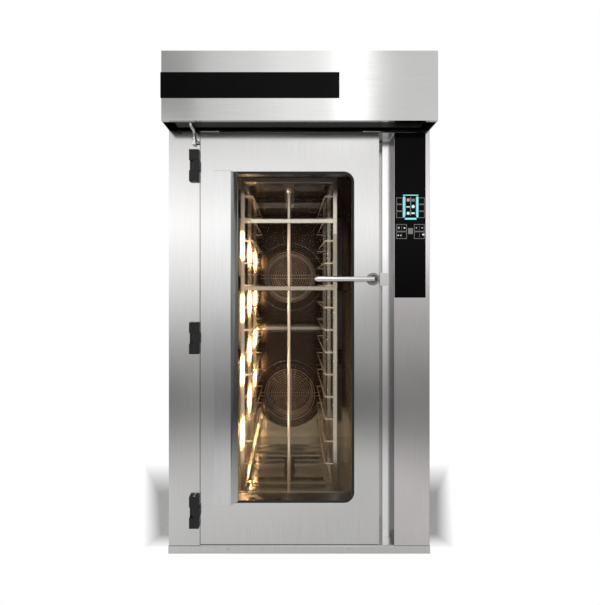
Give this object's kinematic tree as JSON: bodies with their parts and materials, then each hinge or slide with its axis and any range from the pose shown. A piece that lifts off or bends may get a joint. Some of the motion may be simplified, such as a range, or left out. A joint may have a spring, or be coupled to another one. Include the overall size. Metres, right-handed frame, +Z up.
{
  "type": "rotating rack oven",
  "caption": "Stainless rotating rack oven with a steam hood, a left-hung windowed door with lever handle, a wheel-in tray rack on a turntable, rear fans and a control column.",
  "frame": {"origin": "middle of the floor rectangle under the whole oven", "axes": "+X right seen from the front, +Y to the back, +Z up"},
  "size_m": [1.204, 1.44, 2.37],
  "materials": {
    "stainless": "vertical fine brushed stainless sheet",
    "lamp_profile": "brushed stainless fold",
    "galvanised": "galvanised sheet",
    "chamber_steel": "polished heat-tinted stainless liner",
    "wire_steel": "bright stainless wire and tube",
    "turned_steel": "turned and polished stainless",
    "black_gloss": "gloss black",
    "black_glass": "black back-painted glass",
    "clear_glass": "clear toughened glass",
    "black_cast": "black moulded block hinge",
    "silicone": "dark silicone",
    "mineral_wool": "mineral wool slab",
    "fan_steel": "folded stainless",
    "motor_casting": "cast aluminium housing",
    "valve_brass": "machined brass",
    "lamp_glass": "warm halogen tubes in ceramic sockets",
    "module_plastic": "moulded display housing"
  },
  "bodies": {
    "oven": {"base_frame": "stainless", "chamber_ceiling": "chamber_steel", "chamber_floor": "chamber_steel", "chamber_insulation": "mineral_wool", "chamber_walls": "chamber_steel", "control_column": "stainless", "control_glass": "black_glass", "display_module": "module_plastic", "door_frame": "stainless", "door_gasket": "silicone", "door_jamb": "stainless", "door_sill": "stainless", "fan_baffle": "chamber_steel", "fan_guard_lower": "wire_steel", "fan_guard_upper": "wire_steel", "fan_motors": "motor_casting", "floor_pivot": "turned_steel", "flue_pipe": "fan_steel", "front_fascia_left": "stainless", "front_header": "stainless", "heating_elements": "wire_steel", "hinge_blocks": "black_cast", "hinge_pins": "turned_steel", "hood_shell": "stainless", "hood_strip": "black_gloss", "hood_underside": "stainless", "lamp_conduit": "turned_steel", "latch_keeper": "stainless", "lintel_brackets": "stainless", "plenum_back_wall": "galvanised", "plinth_screws": "stainless", "rear_panel": "galvanised", "roof_panel": "galvanised", "rotor_bearing": "motor_casting", "rotor_gearmotor": "motor_casting", "side_panel_left": "stainless", "side_panel_right": "stainless", "water_pipe": "turned_steel", "water_valve": "valve_brass"},
    "door": {"door_skin": "stainless", "door_pan": "chamber_steel", "door_insulation": "mineral_wool", "door_glass_outer": "clear_glass", "door_glass_inner": "clear_glass", "glass_spacer": "galvanised", "lamp_housing": "lamp_profile", "door_lamps": "lamp_glass", "handle_rose": "stainless", "hinge_leaves": "black_cast", "conduit_swivel": "turned_steel"},
    "handle": {"handle_lever": "turned_steel", "latch_cam": "turned_steel"},
    "rotor": {"rotor_shaft": "turned_steel", "rack_frame": "wire_steel", "tray_guides": "wire_steel", "tray_stop_rod": "wire_steel", "turntable": "turned_steel"},
    "fan_upper": {"fan_wheel_upper": "fan_steel"},
    "fan_lower": {"fan_wheel_lower": "fan_steel"},
    "damper": {"flue_damper": "fan_steel"}
  },
  "joints": [
    {"name": "door_hinge", "type": "hinge", "parent": "oven", "child": "door", "pos_m": [-0.48, -0.632, 0.9735], "axis": [0, 0, -1], "range_deg": [0, 120]},
    {"name": "handle_turn", "type": "hinge", "parent": "door", "child": "handle", "pos_m": [0.3386, -0.623, 1.262], "axis": [0, -1, 0], "range_deg": [0, 90]},
    {"name": "rotor_spin", "type": "hinge", "parent": "oven", "child": "rotor", "pos_m": [-0.0495, -0.078, 0.1], "axis": [0, 0, 1], "continuous": true},
    {"name": "fan_upper_spin", "type": "hinge", "parent": "oven", "child": "fan_upper", "pos_m": [-0.0495, 0.5, 1.2965], "axis": [0, 1, 0], "continuous": true},
    {"name": "fan_lower_spin", "type": "hinge", "parent": "oven", "child": "fan_lower", "pos_m": [-0.0495, 0.5, 0.41], "axis": [0, 1, 0], "continuous": true},
    {"name": "damper_turn", "type": "hinge", "parent": "oven", "child": "damper", "pos_m": [-0.27, 0.39, 2.285], "axis": [1, 0, 0], "range_deg": [0, 90]}
  ]
}
